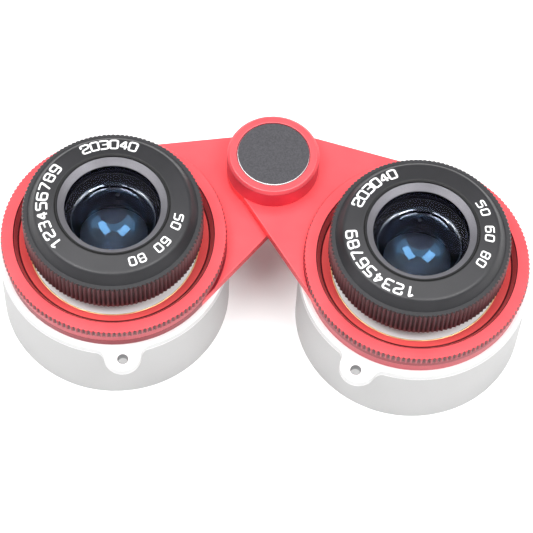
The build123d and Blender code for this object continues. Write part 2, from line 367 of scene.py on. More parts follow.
@dataclass(frozen=True)
class CoatedGlass:
    """Polished glass with an anti-reflection coating that reflects one colour.

    Args:
        name: Name of the material.
        reflection: Share of each colour that the coating leaves of bare glass's reflection.
        body: Colour of light that passes.
        index: Refractive index.
    """

    name: str
    reflection: Colour
    body: Colour
    index: float = 1.72

    def build(self, centre: Vector) -> Material:
        """Make the material, with traces of dust that barely soften the reflection.

        Args:
            centre: Point that the dust's coordinates start from.

        Returns:
            The new material.
        """
        shader = Shader(self.name)
        dust = shader.noise(shader.place(centre), DUST_SPECKS, 5.0, 0.7)
        shader.set(
            Base_Color=self.body,
            Transmission_Weight=1.0,
            IOR=self.index,
            Specular_Tint=self.reflection,
            Roughness=shader.ramp(dust, 0.7, 0.9, 0.0, 0.02),
        )
        return shader.material


@dataclass(frozen=True)
class TurnedMetal:
    """Bare turned metal: steel, brass, and a lip coloured gold as a painted highlight.

    Args:
        name: Name of the material.
        tone, dull: Colours of the metal and of its duller streaks.
        roughness: Middle roughness.
        lines: Depth in metres of the turning lines.
    """

    name: str
    tone: Colour
    dull: Colour
    roughness: float
    lines: float = 0.01 * MM

    def build(self, centre: Vector) -> Material:
        """Make the material.

        Args:
            centre: Point on the axis that its lines run round.

        Returns:
            The new material.
        """
        shader = Shader(self.name)
        lines = shader.lathe_lines(centre, BARE_LINES)
        smudge = shader.noise(shader.place(centre), SMUDGES, 4.0)
        shader.set(
            Base_Color=shader.blend(shader.ramp(smudge, 0.35, 0.7), self.tone, self.dull),
            Metallic=1.0,
            Roughness=shader.ramp(lines, 0.3, 0.7, self.roughness - 0.06, self.roughness + 0.1),
            Normal=shader.relief(lines, self.lines, shader.rounded(BARE_EDGE)),
        )
        return shader.material


@dataclass(frozen=True)
class Cloudy:
    """Enamel or plastic with slightly uneven colour and a faint relief.

    Args:
        name: Name of the material.
        tone, cloud: Its colour and that of its cloudier parts.
        clouds: Clouds per metre.
        patch: Noise where a cloud starts and is full.
        rough: Lowest and highest roughness.
        depth: Depth in metres of the relief.
    """

    name: str
    tone: Colour
    cloud: Colour
    clouds: float
    patch: tuple[float, float]
    rough: tuple[float, float]
    depth: float

    def build(self, centre: Vector) -> Material:
        """Make the material.

        Args:
            centre: Point that its coordinates start from.

        Returns:
            The new material.
        """
        shader = Shader(self.name)
        mist = shader.noise(shader.place(centre), self.clouds, 3.0)
        shader.set(
            Base_Color=shader.blend(shader.ramp(mist, *self.patch), self.tone, self.cloud),
            Roughness=shader.ramp(mist, 0.3, 0.7, *self.rough),
            Normal=shader.relief(mist, self.depth),
        )
        return shader.material


# Walls painted a darker red as shade; edges painted lighter as wear and painted highlight.
RED = Anodised(
    name="anodised_red", tone=(0.86, 0.1, 0.115), wear_and_highlight=(0.95, 0.28, 0.28),
    shade=(0.83, 0.085, 0.1), wall_shade=(0.42, 0.06, 0.075), metallic=0.5, roughness=0.38,
    grain=0.012 * MM, lines=0.004 * MM, edge=0.12 * MM,
)
# Knurl walls painted dark maroon as shade, darkest in the valleys, and a painted shadow line round the top
# edge of its opening.
RED_RING = replace(
    RED, name="anodised_red_ring", wall_shade=(0.34, 0.018, 0.034), edge=0.07 * MM,
    rib_root=25.84 * MM, rib_tip=26.16 * MM, rib_valley_shade=(0.045, 0.001, 0.003),
    dark=((23.14 * MM, 23.34 * MM, 28.2 * MM, HIGHEST),), dark_tone=(0.06, 0.004, 0.006),
)
# Walls painted a little darker as shade; its dark bands are painted shadow under the clamp ring's ribs and
# painted shade on the round wall.
RED_ARM = replace(
    RED, name="anodised_red_arm", wall_shade=(0.74, 0.07, 0.085), edge=0.2 * MM,
    dark_tone=(0.22, 0.014, 0.024),
)
# Walls painted a darker red as shade.
RED_HUB = replace(RED, name="anodised_red_hub", wall_shade=(0.5, 0.04, 0.072), edge=0.35 * MM)
# Painted light: a brighter copy of the red that makes up for the shade under the cup, with walls painted
# darker as shade and a painted shadow line round the mouth.
RED_SLEEVE_LIT = replace(
    RED, name="anodised_red_sleeve_painted_lit", tone=(1.0, 0.12, 0.12), shade=(1.0, 0.105, 0.105),
    wall_shade=(0.4, 0.02, 0.03), metallic=0.1,
    dark=((21.95 * MM, 22.4 * MM, 0.0, HIGHEST),), dark_tone=(0.1, 0.008, 0.01),
)
# Walls painted a darker grey than the tops as shade; the bore's inside below 17.75 mm is coloured dark.
SILVER = Anodised(
    name="silver_aluminium", tone=(0.9, 0.9, 0.9), wear_and_highlight=(0.91, 0.91, 0.91),
    shade=(0.87, 0.87, 0.875), wall_shade=(0.41, 0.408, 0.408), metallic=0.3, roughness=0.46,
    grain=0.01 * MM, lines=0.012 * MM, edge=0.5 * MM, dark=((0.0, 24.66 * MM, LOWEST, 17.75 * MM),),
)
# Walls painted a lighter grey than the tube's as shade, and painted shade inside the lug's hole.
SILVER_LUG = replace(
    SILVER, name="silver_lug", wall_shade=(0.58, 0.58, 0.58), dark=((0.0, 1.28 * MM, LOWEST, HIGHEST),),
    dark_tone=(0.16, 0.16, 0.165),
)
# Walls painted darker as shade; edges painted lighter as wear and painted highlight.
BLACK = Anodised(
    name="black_anodised", tone=(0.02, 0.0195, 0.0225), wear_and_highlight=(0.06, 0.06, 0.064),
    shade=(0.0155, 0.0155, 0.0175), wall_shade=(0.006, 0.005, 0.006), metallic=0.0, roughness=0.4,
    grain=0.016 * MM, lines=0.002 * MM, edge=0.12 * MM,
)
# Knurl walls painted maroon towards the tips as a painted reflection of the red ring, and black in the valleys
# as shade; the face's inner lip is painted black as the shade of the gap round the bevel ring; its rounded
# front edge is painted lighter as wear and painted highlight.
BLACK_CUP = replace(
    BLACK, name="black_cup", edge=0.06 * MM, round_above=40.0 * MM, round_edge=0.7 * MM,
    wall_shade=(0.05, 0.032, 0.036), rib_root=20.3 * MM, rib_tip=20.66 * MM,
    dark=((0.0, 13.3 * MM, 38.0 * MM, HIGHEST),), dark_tone=(0.003, 0.003, 0.003),
)
# Walls painted a little darker as shade; edges a little lighter as wear and painted highlight.
MATT_BLACK = replace(
    BLACK, name="matt_black", tone=(0.004, 0.004, 0.005), shade=(0.003, 0.003, 0.004),
    wall_shade=(0.003, 0.003, 0.004), wear_and_highlight=(0.012, 0.012, 0.013), roughness=0.62,
)
# Walls painted near black as shade, and a painted shadow line in the groove near the outer edge.
GREY_BEVEL = Anodised(
    name="grey_bevel", tone=(0.25, 0.245, 0.27), wear_and_highlight=(0.29, 0.285, 0.31),
    shade=(0.21, 0.205, 0.225), wall_shade=(0.01, 0.01, 0.011), metallic=0.6, roughness=0.36,
    grain=0.01 * MM, lines=0.02 * MM, edge=0.1 * MM, dark=((12.48 * MM, 12.7 * MM, 0.0, HIGHEST),),
)
EYE_GLASS_OVER = CoatedGlass("eye_glass_over", (0.03, 0.033, 0.075), (0.9, 0.92, 0.96))
EYE_GLASS_UNDER = CoatedGlass("eye_glass_under", (0.22, 0.56, 1.0), (0.9, 0.92, 0.96))
OBJECTIVE_GLASS = CoatedGlass("objective_glass", (0.04, 0.06, 0.12), (0.9, 0.95, 1.0), 1.52)
STEEL = TurnedMetal("turned_steel", (0.6, 0.6, 0.61), (0.45, 0.45, 0.46), 0.28)
BRASS = TurnedMetal("turned_brass", (0.78, 0.58, 0.28), (0.62, 0.44, 0.2), 0.3)
# Painted highlight: gold colour standing in for the golden edge highlight on the silver neck.
LIP_GOLD_HIGHLIGHT = TurnedMetal("lip_gold_painted_highlight", (0.9, 0.68, 0.34), (0.7, 0.46, 0.2), 0.32)
DULL_SEAT = TurnedMetal("dull_seat", (0.07, 0.075, 0.09), (0.045, 0.045, 0.055), 0.45)
DIAL_PAINT = Cloudy(
    "dial_paint", (0.93, 0.93, 0.94), (0.74, 0.74, 0.76), 1500.0, (0.55, 0.8), (0.38, 0.55), 0.02 * MM,
)
SLIP_PLASTIC = Cloudy(
    "slip_plastic", (0.88, 0.88, 0.85), (0.8, 0.8, 0.77), 1300.0, (0.0, 1.0), (0.3, 0.42), 0.01 * MM,
)
DISC = CoverDisc()


# ------ meshes

FINE, MEDIUM, COARSE = 256, 192, 160  # steps round an axis
ON_AXIS = 1e-9  # radius in metres below which an outline's end counts as being on the axis
Solid = tuple[np.ndarray, np.ndarray | list]


def lathe(radius: np.ndarray, height: np.ndarray, centre: Vector, segments: int) -> Solid:
    """Surface of an outline turned about a vertical axis.

    A point is centre + (radius(v, u) cos u, radius(v, u) sin u, height(v, u)), with u once round the axis
    and v along the outline. An outline that starts and ends on the axis is closed there by fans; any other
    closes on itself. It runs anticlockwise with the radius to the right, so that faces point outwards.

    Args:
        radius: Radii in metres, one per outline point or a grid of outline points by segments.
        height: Heights in metres, shaped as the radii.
        centre: Point on the axis.
        segments: Steps round the axis.

    Returns:
        Vertices and faces.
    """
    turn = np.linspace(0.0, 2 * math.pi, segments, endpoint=False)
    radius = np.broadcast_to(np.atleast_2d(radius.T).T, (len(radius), segments))
    height = np.broadcast_to(np.atleast_2d(height.T).T, (len(height), segments))
    poled = radius[0, 0] < ON_AXIS and radius[-1, 0] < ON_AXIS
    spread = np.stack([radius * np.cos(turn), radius * np.sin(turn), height], -1) + np.array(centre)
    rings = spread[1:-1] if poled else spread
    points = rings.reshape(-1, 3)
    rows = len(rings)
    row = np.arange(rows - 1 if poled else rows)[:, None]
    column = np.arange(segments)[None, :]
    after, above = (column + 1) % segments, (row + 1) % rows
    corners = [(row, column), (row, after), (above, after), (above, column)]
    faces = np.stack([r * segments + c for r, c in corners], -1).reshape(-1, 4).tolist()
    if poled:
        last = (rows - 1) * segments
        ring = np.arange(segments)
        step = (ring + 1) % segments
        low_pole, high_pole = np.full(segments, rows * segments), np.full(segments, rows * segments + 1)
        faces += np.stack([step, ring, low_pole], -1).tolist()
        faces += np.stack([last + ring, last + step, high_pole], -1).tolist()
        points = np.vstack([points, spread[0, 0], spread[-1, 0]])
    return points, faces


def sheet(x: np.ndarray, y: np.ndarray, z: np.ndarray) -> Solid:
    """Open surface through a grid of points, with one face between each four neighbours.

    Args:
        x: Grid of places along X.
        y: Grid of places along Y.
        z: Grid of heights.

    Returns:
        Vertices and faces.
    """
    rows, columns = x.shape
    start = np.arange(rows - 1)[:, None] * columns + np.arange(columns - 1)
    faces = np.stack([start, start + 1, start + columns + 1, start + columns], -1).reshape(-1, 4)
    return np.stack([x.ravel(), y.ravel(), z.ravel()], -1), faces.tolist()


def as_piece(name: str, solid: Solid, material: Material, crease: float) -> bpy.types.Object:
    """Object made of vertices and faces, shaded smooth except over edges sharper than crease degrees.

    Args:
        name: Name of the piece.
        solid: Vertices in metres and faces.
        material: Finish.
        crease: Angle in degrees above which an edge stays sharp.

    Returns:
        The new object, linked to the scene.
    """
    points, faces = solid
    mesh = bpy.data.meshes.new(name)
    mesh.from_pydata(points.tolist(), [], faces)
    mesh.shade_smooth()
    mesh.set_sharp_from_angle(angle=math.radians(crease))
    mesh.materials.append(material)
    piece = bpy.data.objects.new(name, mesh)
    bpy.context.scene.collection.objects.link(piece)
    return piece


def run(start: tuple[float, float], end: tuple[float, float], steps: int) -> np.ndarray:
    """Straight run of an outline: points start + (end - start) t, t from 0 towards 1 in equal steps."""
    share = np.arange(steps)[:, None] / steps
    return np.array(start) + (np.array(end) - np.array(start)) * share


def bow(radius: np.ndarray, apex: float, curve: float) -> np.ndarray:
    """Height of a spherical face: apex + curve - sign(curve) sqrt(curve^2 - radius^2)."""
    return apex + curve - math.copysign(1.0, curve) * np.sqrt(curve * curve - radius * radius)


def settle(piece: bpy.types.Object, body: str, slot: Slot, *replaced: str) -> None:
    """Parent a finished piece to the body it moves with, hide the CAD nodes it stands for and log it.

    Args:
        piece: The piece.
        body: Body that it moves with.
        slot: Its material slot; not used.
        replaced: CAD nodes that it stands for.
    """
    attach(piece, body)
    if replaced:
        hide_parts(*replaced)
    LOG.info("%s rides on %s, %d faces", piece.name, body, len(piece.data.polygons))


def dress(node: str, material: Material) -> None:
    """Give a CAD node its finish.

    Args:
        node: Name of the node.
        material: Finish for all its slots.
    """
    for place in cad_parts[node].material_slots:
        place.material = material
    LOG.info("%s wears %s", node, material.name)


# ------ sub-assemblies


@dataclass
class GlassElement:
    """One lens with two spherical faces and a ground edge.

    Args:
        part, piece: Names of the CAD part and of the new piece that stands for it.
        radius: Edge radius in metres.
        low, high: Heights of the two faces on the axis.
        low_curve, high_curve: Their signed radii, positive when the middle is the lowest point.
        clear: Radius of the polished faces; outside it each face is flat.
        rings: Outline points on each face.
    """

    part: str
    piece: str
    radius: float
    low: float
    high: float
    low_curve: float
    high_curve: float
    clear: float
    rings: int = 40

    def outline(self) -> np.ndarray:
        """Work out the outline, with the heights of both faces from bow.

        Returns:
            Radii and heights from the lower pole round the edge to the upper pole.
        """
        reach = np.linspace(0.0, self.clear, self.rings)
        under = np.stack([reach, bow(reach, self.low, self.low_curve)], -1)
        over = np.stack([reach, bow(reach, self.high, self.high_curve)], -1)[::-1]
        return np.vstack([under, [self.radius, under[-1, 1]], [self.radius, over[0, 1]], over])

    def build(self, side: Side, body: str, under: CoatedGlass, over: CoatedGlass) -> None:
        """Turn the lens on a barrel's axis and put it in place of its CAD node.

        Args:
            side: Barrel.
            body: Part of the barrel that it moves with.
            under: Coating of its lower face.
            over: Coating of its upper face.
        """
        radius, height = self.outline().T
        solid = lathe(radius, height, side.axis(), COARSE)
        piece = as_piece(side.node(self.piece), solid, under.build(side.axis()), 25.0)
        if over is not under:
            piece.data.materials.append(over.build(side.axis()))
            middles = np.zeros(len(piece.data.polygons) * 3, np.float32)
            piece.data.polygons.foreach_get("center", middles)
            half = (height[self.rings - 1] + height[-self.rings]) / 2
            piece.data.polygons.foreach_set("material_index", (middles[2::3] > half).astype(np.int32))
        settle(piece, side.node(body), Slot.GLASS, side.node(self.part))


@dataclass
class ObjectiveEnd:
    """Silver tube, strap ring, lens cell and the two cemented objective lenses of one barrel.

    Args:
        side: Barrel.
        lug_angle: Direction of the strap lug in degrees from +X.
        lug_reach: Distance of the lug's hole from the barrel's axis.
        joint_gap: Cement gap between the two lenses.
        front_curve, joint_curve, rear_curve: Radii of the front, the cemented and the rear faces.
        edge_bevel: Width of the flat at the edge of each lens.
    """

    side: Side
    lug_angle: float
    lug_reach: float = 29.35 * MM
    joint_gap: float = 0.04 * MM
    front_curve: float = 75.0 * MM
    joint_curve: float = 90.0 * MM
    rear_curve: float = 300.0 * MM
    edge_bevel: float = 0.3 * MM

    def build(self) -> None:
        """Make the lenses and dress the metal."""
        axis = self.side.axis()
        silver, black = SILVER.build(axis), MATT_BLACK.build(axis)
        dress(self.side.node("objective_tube"), silver)
        hole = axis + Matrix.Rotation(math.radians(self.lug_angle), 3, "Z") @ Vector((self.lug_reach, 0, 0))
        dress(self.side.node("strap_ring"), SILVER_LUG.build(hole))
        dress(self.side.node("objective_cell"), black)
        dress(self.side.node("objective_retaining_ring"), black)
        for lens in self.lenses():
            lens.build(self.side, "barrel", OBJECTIVE_GLASS, OBJECTIVE_GLASS)

    def lenses(self) -> tuple[GlassElement, GlassElement]:
        """Size the two lenses.

        Returns:
            Front lens, bulging down to the floor and up into its partner, and rear lens, whose lower face
            follows the front lens and whose upper face bulges up.
        """
        low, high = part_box(self.side.node("objective_front_lens"))
        _, rear_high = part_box(self.side.node("objective_rear_lens"))
        radius = (high.x - low.x) / 2
        front = GlassElement(
            part="objective_front_lens", piece="front_glass", radius=radius, clear=radius - self.edge_bevel,
            low=low.z, high=high.z - self.joint_gap, low_curve=self.front_curve, high_curve=-self.joint_curve,
        )
        rear = replace(
            front, part="objective_rear_lens", piece="rear_glass", low=high.z, high=rear_high.z,
            low_curve=-self.joint_curve, high_curve=-self.rear_curve,
        )
        return front, rear


@dataclass
class FocusGear:
    """Threaded focus tube, slide, guide pin and the lip on the neck of one barrel, coloured gold as a painted
    edge highlight.

    Args:
        side: Barrel.
        starts, lead, depth: Starts of the focusing thread, its rise in one turn and its depth.
        crest: Power that flattens the thread's crests when it is below 1.
        bare_from: Height where the thread starts, above the foot of the tube.
        fade_low, fade_high: Heights over which it reaches its depth and runs out at the top.
        wall: Wall of the tube.
        rows: Points up the thread.
        neck: Outer radius of the neck that carries the lip.
        lip_width, lip_rise: Width and height of the lip.
        lip_root: How deep its foot reaches into the neck.
    """

    side: Side
    starts: int = 8
    lead: float = 8.0 * MM
    depth: float = 0.42 * MM
    crest: float = 0.7
    bare_from: float = 3.0 * MM
    fade_low: float = 0.6 * MM
    fade_high: float = 0.4 * MM
    wall: float = 2.32 * MM
    rows: int = 150
    neck: float = 19.9 * MM
    lip_width: float = 0.3 * MM
    lip_rise: float = 0.12 * MM
    lip_root: float = 0.02 * MM

    def build(self) -> None:
        """Make the thread and the lip and dress the slide."""
        axis = self.side.axis()
        dress(self.side.node("eyepiece_slide"), MATT_BLACK.build(axis))
        dress(self.side.node("guide_pin"), STEEL.build(axis))
        self.thread()
        self.lip()

    def thread(self) -> None:
        """Helical thread: outer radius minus depth times a rounded wave of starts (height / lead - turn)."""
        low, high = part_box(self.side.node("focus_tube"))
        outer = (high.x - low.x) / 2
        inner = outer - self.wall
        heights = np.linspace(low.z, high.z, self.rows)
        turn = np.linspace(0.0, 1.0, FINE, endpoint=False)
        wave = 0.5 - 0.5 * np.cos(2 * math.pi * self.starts * (heights[:, None] / self.lead - turn[None, :]))
        fade = np.clip((heights - low.z - self.bare_from) / self.fade_low, 0, 1)
        fade *= np.clip((high.z - heights) / self.fade_high, 0, 1)
        outside = outer - self.depth * wave ** self.crest * fade[:, None]
        flat = np.vstack([
            run((outer, high.z), (inner, high.z), 4)[1:],
            run((inner, high.z), (inner, low.z), 12),
            run((inner, low.z), (outer, low.z), 4),
        ])
        radius = np.vstack([outside, np.repeat(flat[:, :1], FINE, 1)])
        height = np.append(heights, flat[:, 1])[:, None] + np.zeros(FINE)
        axis = self.side.axis()
        solid = lathe(radius, height, axis, FINE)
        piece = as_piece(self.side.node("focus_thread"), solid, BLACK.build(axis), 50.0)
        settle(piece, self.side.node("barrel"), Slot.BLACK, self.side.node("focus_tube"))

    def lip(self) -> None:
        """Half-round lip on the neck: height = top + rise sin t, radius = middle + half width cos t."""
        _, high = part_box(self.side.node("objective_tube"))
        sweep = np.linspace(0.0, math.pi, 9)
        half = self.lip_width / 2
        radius = np.append(self.neck - half + half * np.cos(sweep), self.neck - half)
        height = np.append(high.z + self.lip_rise * np.sin(sweep), high.z - self.lip_root)
        axis = self.side.axis()
        solid = lathe(radius, height, axis, MEDIUM)
        # The lip's gold colour is a painted edge highlight.
        piece = as_piece(self.side.node("neck_lip"), solid, LIP_GOLD_HIGHLIGHT.build(axis), 60.0)
        settle(piece, self.side.node("barrel"), Slot.SILVER)


@dataclass
class EyeEnd:
    """Eye lens, its cell, the grooved bevel ring and the dull edge of the seat under the lens of one barrel.

    Args:
        side: Barrel.
        clear: Radius of the lens's polished faces, which is also the ring's inner radius.
        top_curve, under_curve: Radii of the two faces.
        ring_edge: Width of the ring's broken outer edge.
        ring_foot: Thickness of the ring at its inner edge.
        grooves, groove_depth: Number and depth of the grooves in the ring's slope.
        seat_drop: How far the seat's edge lies under the lens's box.
        seat_radius, seat_round: Radius of the seat's edge and of its section.
    """

    side: Side
    clear: float = 11.0 * MM
    top_curve: float = 200.0 * MM
    under_curve: float = 22.0 * MM
    ring_edge: float = 0.05 * MM
    ring_foot: float = 0.3 * MM
    grooves: int = 9
    groove_depth: float = 0.05 * MM
    seat_drop: float = 0.35 * MM
    seat_radius: float = 10.35 * MM
    seat_round: float = 0.07 * MM

    def build(self) -> None:
        """Make the lens, the ring and the seat, and dress the cell."""
        dress(self.side.node("eye_lens_cell"), MATT_BLACK.build(self.side.axis()))
        self.lens().build(self.side, "eyepiece", EYE_GLASS_UNDER, EYE_GLASS_OVER)
        self.bevel_ring()
        self.seat()

    def lens(self) -> GlassElement:
        """Size the eye lens; a face's sag is curve - sqrt(curve^2 - clear^2).

        Returns:
            Lens hollow on both faces, the lower one deeper.
        """
        low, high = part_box(self.side.node("eye_lens"))
        top_sag, under_sag = (
            curve - math.sqrt(curve ** 2 - self.clear ** 2) for curve in (self.top_curve, self.under_curve)
        )
        return GlassElement(
            part="eye_lens", piece="eye_glass", radius=(high.x - low.x) / 2, clear=self.clear,
            low=low.z + under_sag, high=high.z - top_sag,
            low_curve=-self.under_curve, high_curve=self.top_curve,
        )

    def bevel_ring(self) -> None:
        """Sloping ring with grooves: depth (0.5 - 0.5 cos(2 pi grooves t)), with t down the slope."""
        low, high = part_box(self.side.node("eye_retaining_ring"))
        outer = (high.x - low.x) / 2
        share = np.linspace(0.0, 1.0, 10 * self.grooves + 1)
        dip = self.groove_depth * (0.5 - 0.5 * np.cos(2 * math.pi * self.grooves * share))
        slope_radius = outer - self.ring_edge + (self.clear - outer + self.ring_edge) * share
        slope_height = high.z + (low.z + self.ring_foot - high.z) * share - dip
        radius = np.concatenate([[self.clear, outer, outer], slope_radius])
        height = np.concatenate([[low.z, low.z, high.z - self.ring_edge], slope_height])
        axis = self.side.axis()
        solid = lathe(radius, height, axis, MEDIUM)
        piece = as_piece(self.side.node("bevel_ring"), solid, GREY_BEVEL.build(axis), 50.0)
        settle(piece, self.side.node("eyepiece"), Slot.BLACK, self.side.node("eye_retaining_ring"))

    def seat(self) -> None:
        """Thin edge of the seat under the lens: a torus of seat radius and round."""
        low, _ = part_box(self.side.node("eye_lens"))
        sweep = np.linspace(0.0, 2 * math.pi, 12, endpoint=False)
        radius = self.seat_radius + self.seat_round * np.cos(sweep)
        height = low.z - self.seat_drop + self.seat_round * np.sin(sweep)
        axis = self.side.axis()
        solid = lathe(radius, height, axis, COARSE)
        piece = as_piece(self.side.node("lens_seat_edge"), solid, DULL_SEAT.build(axis), 80.0)
        settle(piece, self.side.node("eyepiece"), Slot.STEEL)


@dataclass(frozen=True)
class DialGroup:
    """Numbers spaced evenly along one arc of the dial, read clockwise with their tops outwards.

    Args:
        text: Characters; a space leaves a gap.
        first, last: Angles in degrees of the first and the last character.
        height: Height of the digits in metres.
        middle: Radius of the middle of the digits in metres.
    """

    text: str
    first: float
    last: float
    height: float
    middle: float


@dataclass
class FocusDial:
    """Knurled focus cup of one barrel, with a distance dial on its sloping face.

    Args:
        side: Barrel.
        turn: Angle in degrees that the dial is turned by.
        groups: Numbers on the dial.
        face_outer, face_inner: Radius and height of each edge of the face.
        raise_by: Thickness of the paint.
        stroke: Width of the strokes, as a share of the digit height.
        stretch: Widening of the digits along the arc.
    """

    side: Side
    turn: float
    groups: tuple[DialGroup, ...] = (
        DialGroup("123456789", 224.0, 150.0, 2.75 * MM, 16.05 * MM),
        DialGroup("203040", 119.0, 79.0, 2.75 * MM, 16.0 * MM),
        DialGroup("50 60", -7.0, -41.0, 2.25 * MM, 15.4 * MM),
        DialGroup("80", -58.0, -66.5, 2.25 * MM, 15.4 * MM),
    )
    face_outer: tuple[float, float] = (17.3 * MM, 41.26 * MM)
    face_inner: tuple[float, float] = (13.0 * MM, 41.8 * MM)
    raise_by: float = 0.04 * MM
    stroke: float = 0.15
    stretch: float = 1.12

    def build(self) -> None:
        """Dress the cup and paint its numbers."""
        axis = self.side.axis()
        dress(self.side.node("focus_cup"), BLACK_CUP.build(axis))
        places = [(group, place) for group in self.groups for place in range(len(group.text))]
        points, faces = joined([self.digit(*at) for at in places if at[0].text[at[1]] != " "])
        solid = points + np.array(axis), faces.tolist()
        piece = as_piece(self.side.node("dial_numbers"), solid, DIAL_PAINT.build(axis), 30.0)
        settle(piece, self.side.node("cup"), Slot.BLACK)

    def digit(self, group: DialGroup, place: int) -> Solid:
        """One digit bent onto the face.

        A flat point (x, y, z) goes to radius middle - height / 2 + y, angle = its own place on the arc -
        stretch x / middle, and height = the face's height at that radius + z.

        Args:
            group: Group that the digit belongs to.
            place: Index of the digit in the group.

        Returns:
            Vertices and faces about the barrel's axis.
        """
        flat, faces = glyph(group.text[place], group.height, self.stroke * group.height, self.raise_by)
        share = place / (len(group.text) - 1)
        start = math.radians(group.first + (group.last - group.first) * share + self.turn)
        angle = start - self.stretch * flat[:, 0] / group.middle
        radius = group.middle - group.height / 2 + flat[:, 1]
        slope = (self.face_inner[1] - self.face_outer[1]) / (self.face_outer[0] - self.face_inner[0])
        height = self.face_outer[1] + (self.face_outer[0] - radius) * slope + flat[:, 2]
        return np.stack([radius * np.cos(angle), radius * np.sin(angle), height], -1), faces


# Corners x y of each stroke, in thirds of the height; a bar starts the next stroke.
DIGIT_STROKES = {
    "0": "1 0 0 0 0 3 2 3 2 0 1 0",
    "1": "0.3 2.4 1.1 3 1.1 0",
    "2": "0 2.2 0 3 2 3 2 1.7 0 1.2 0 0 2 0",
    "3": "0 3 2 3 2 1.6 0.6 1.6 | 0.6 1.6 2 1.6 2 0 0 0",
    "4": "1.5 0 1.5 3 0 0.9 2.1 0.9",
    "5": "2 3 0 3 0 1.8 2 1.8 2 0 0 0",
    "6": "1.9 3 0 3 0 0 2 0 2 1.8 0.1 1.8",
    "7": "0 3 2 3 0.7 0",
    "8": "1 1.6 0.05 1.6 0.05 3 1.95 3 1.95 1.6 1 1.6 | 1 1.6 0 1.6 0 0 2 0 2 1.6 1 1.6",
    "9": "0.1 0 2 0 2 3 0 3 0 1.3 1.9 1.3",
}
CORNER_CUT = 0.62  # length in stroke units taken from each run at a corner
END_REACH = 0.6  # share of the half width that an open line's ends reach on
OPEN_ENDS = 1.0 * MM  # ends further apart than this belong to an open line


def rounded_line(corners: np.ndarray, cut: float) -> np.ndarray:
    """Line through corners with each inner corner replaced by a quadratic arc.

    The arc over corner c from a = c - cut u to b = c + cut v is (1 - t)^2 a + 2 t (1 - t) c + t^2 b, with u
    and v the directions of the two runs, and cut no more than half a run.

    Args:
        corners: Corner points, one per row.
        cut: Length taken from each run at a corner.

    Returns:
        Points along the rounded line.
    """
    runs = np.diff(corners, axis=0)
    lengths = np.linalg.norm(runs, axis=1)
    units = runs / lengths[:, None]
    reach = np.minimum(cut, 0.5 * np.minimum(lengths[:-1], lengths[1:]))[:, None]
    middle = corners[1:-1]
    before, after = middle - reach * units[:-1], middle + reach * units[1:]
    t = np.linspace(0.0, 1.0, 8)[None, :, None]
    arcs = (1 - t) ** 2 * before[:, None] + 2 * t * (1 - t) * middle[:, None] + t ** 2 * after[:, None]
    line = np.vstack([corners[:1], arcs.reshape(-1, 2), corners[-1:]])
    keep = np.append(True, np.linalg.norm(np.diff(line, axis=0), axis=1) > 1e-4)
    return line[keep]


def ribbon(line: np.ndarray, half: float, thick: float) -> Solid:
    """Flat bar carried along a line, closed at its ends: corners line +/- half normal, at z = 0 and thick.

    Args:
        line: Points of the centre line.
        half: Half the width.
        thick: Thickness.

    Returns:
        Vertices and faces.
    """
    along = np.gradient(line, axis=0)
    along /= np.linalg.norm(along, axis=1)[:, None]
    if np.linalg.norm(line[0] - line[-1]) > OPEN_ENDS:
        line = np.vstack([
            line[0] - along[0] * half * END_REACH, line[1:-1], line[-1] + along[-1] * half * END_REACH,
        ])
    normal = np.stack([-along[:, 1], along[:, 0]], -1) * half
    count = len(line)
    floor, top = np.zeros((count, 1)), np.full((count, 1), thick)
    corners = [(line - normal, floor), (line - normal, top), (line + normal, top), (line + normal, floor)]
    points = np.stack([np.hstack(corner) for corner in corners], 1).reshape(-1, 3)
    row = 4 * np.arange(count - 1)[:, None]
    corner = np.arange(4)[None, :]
    ahead = (corner + 1) % 4
    sides = np.stack([row + corner, row + 4 + corner, row + 4 + ahead, row + ahead], -1).reshape(-1, 4)
    last = 4 * (count - 1)
    return points, np.vstack([sides, [0, 1, 2, 3], [last + 3, last + 2, last + 1, last]])


def joined(shapes: list[Solid]) -> Solid:
    """One shape out of several: faces are shifted by the number of vertices that come before them.

    Args:
        shapes: Vertices and faces of each shape.

    Returns:
        Vertices and faces of them all.
    """
    starts = np.cumsum([0] + [len(points) for points, _ in shapes[:-1]])
    faces = [faces + start for (_, faces), start in zip(shapes, starts)]
    return np.vstack([points for points, _ in shapes]), np.vstack(faces)


def glyph(character: str, height: float, stroke: float, thick: float) -> Solid:
    """Mesh of one digit standing on y = 0 and centred on x = 0, drawn with strokes of one width.

    Args:
        character: The digit.
        height: Its height in metres, strokes included.
        stroke: Width of its strokes in metres.
        thick: Its thickness in metres.

    Returns:
        Vertices and faces.
    """
    unit = (height - stroke) / 3
    strokes = [np.array(text.split(), float).reshape(-1, 2) for text in DIGIT_STROKES[character].split("|")]
    lines = [rounded_line(corners, CORNER_CUT) * unit for corners in strokes]
    points, faces = joined([ribbon(line, stroke / 2, thick) for line in lines])
    return points + np.array([-unit, stroke / 2, 0.0]), faces


